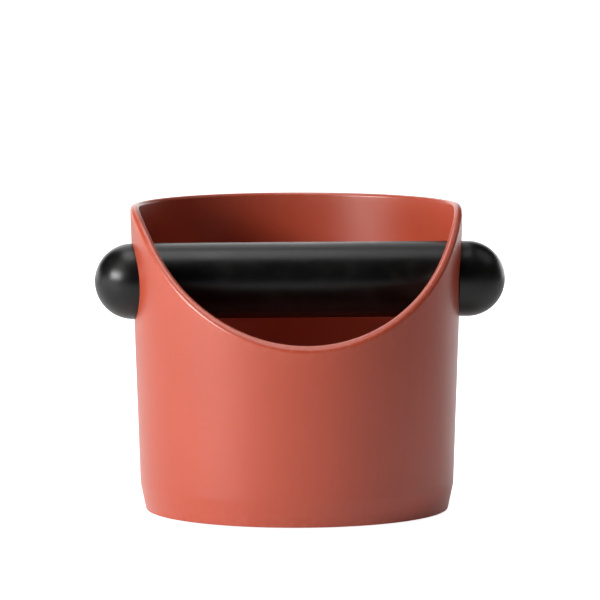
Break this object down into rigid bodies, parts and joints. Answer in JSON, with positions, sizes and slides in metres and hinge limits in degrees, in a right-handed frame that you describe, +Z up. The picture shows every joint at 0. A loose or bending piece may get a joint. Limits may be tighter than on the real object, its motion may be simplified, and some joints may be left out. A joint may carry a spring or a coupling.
{
  "type": "espresso knock box",
  "caption": "Drum-shaped knock box with a slanted cut-away front and a rubber-covered bar across it on which a portafilter is knocked out.",
  "frame": {"origin": "centre of the foot ring on the surface that the box stands on", "axes": "+Z up, +X along the bar to the right as the cut-away front is faced, -Y out of the cut-away front"},
  "size_m": [0.1422, 0.1135, 0.106],
  "materials": {
    "drum_plastic": "satin moulded",
    "foot_rubber": "matte",
    "core_steel": "drawn tube",
    "bar_rubber": "satin moulded"
  },
  "bodies": {
    "drum": {"drum": "drum_plastic", "foot_ring": "foot_rubber"},
    "bar_core": {"bar_core": "core_steel"},
    "bar_rubber": {"bar_sleeve": "bar_rubber", "bar_end_left": "bar_rubber", "bar_end_right": "bar_rubber"}
  },
  "joints": [
    {"name": "bar_slide", "type": "slide", "parent": "drum", "child": "bar_core", "axis": [1, 0, 0], "range_m": [-0.132, 0.132]},
    {"name": "bar_spin", "type": "hinge", "parent": "bar_core", "child": "bar_rubber", "pos_m": [0.0013, 0, 0.07985], "axis": [1, 0, 0], "continuous": true}
  ]
}
